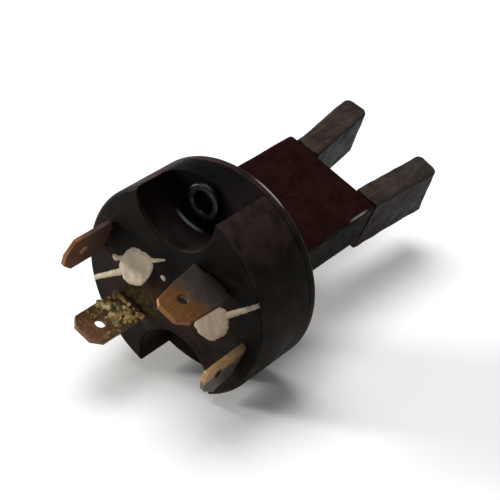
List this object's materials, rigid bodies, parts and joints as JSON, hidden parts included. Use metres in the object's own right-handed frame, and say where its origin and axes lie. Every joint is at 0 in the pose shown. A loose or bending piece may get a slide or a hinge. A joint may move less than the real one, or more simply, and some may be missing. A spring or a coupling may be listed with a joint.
{
  "type": "knife blade switch",
  "caption": "Round moulded switch base with push-on terminal tabs on its face and a flat block behind, from which two thick hinged knife blades stand out.",
  "frame": {"origin": "centre of the drum's flat front face", "axes": "+Y runs along the drum's axis from the terminal tabs to the blades; +Z points from the notch towards the screw pocket; +X completes the right-handed frame"},
  "size_m": [0.0344, 0.0712, 0.0344],
  "materials": {
    "black_phenolic": "aged black phenolic moulding, faint green-brown cast",
    "maroon_phenolic": "dull dark maroon phenolic moulding",
    "tab_brass": "tarnished orange-brown brass",
    "spring_brass": "half-hard spring brass",
    "arm_copper": "hard copper strip",
    "blade_metal": "dull grey-brown oxidised brass bar",
    "fastener_steel": "darkened plated steel",
    "cream_sealant": "cream sealing compound",
    "barrier_fibre": "red vulcanised fibre"
  },
  "bodies": {
    "base": {"block_body": "maroon_phenolic", "block_floor_plate": "maroon_phenolic", "block_screw_1": "fastener_steel", "block_screw_2": "fastener_steel", "cover_screw_1": "fastener_steel", "cover_screw_2": "fastener_steel", "cover_screw_3": "fastener_steel", "cover_screw_4": "fastener_steel", "drum_body": "black_phenolic", "friction_washer_left": "fastener_steel", "friction_washer_right": "fastener_steel", "hinge_strap_left": "spring_brass", "hinge_strap_right": "spring_brass", "jaw_clip_left": "spring_brass", "jaw_clip_right": "spring_brass", "jaw_rivet_left": "fastener_steel", "jaw_rivet_right": "fastener_steel", "mounting_eyelet": "fastener_steel", "pivot_pin_left": "fastener_steel", "pivot_pin_right": "fastener_steel", "pole_barrier": "barrier_fibre", "rear_cover": "black_phenolic", "seal_left": "cream_sealant", "seal_right": "cream_sealant", "strap_rivet_left": "fastener_steel", "strap_rivet_right": "fastener_steel", "terminal_tab_left": "tab_brass", "terminal_tab_lower": "tab_brass", "terminal_tab_right": "tab_brass", "terminal_tab_upper": "tab_brass"},
    "left_blade": {"arm_rivet_left": "fastener_steel", "blade_left": "blade_metal", "contact_arm_left": "arm_copper"},
    "right_blade": {"arm_rivet_right": "fastener_steel", "blade_right": "blade_metal", "contact_arm_right": "arm_copper"}
  },
  "joints": [
    {"name": "left_blade_swing", "type": "hinge", "parent": "base", "child": "left_blade", "pos_m": [-0.00597, 0.034, 0.00257], "axis": [0.3955, 0, 0.9184], "range_deg": [-7.2, 0.8]},
    {"name": "right_blade_swing", "type": "hinge", "parent": "base", "child": "right_blade", "pos_m": [0.00524, 0.034, -0.00225], "axis": [-0.3955, 0, -0.9184], "range_deg": [-3.2, 4.8]}
  ]
}
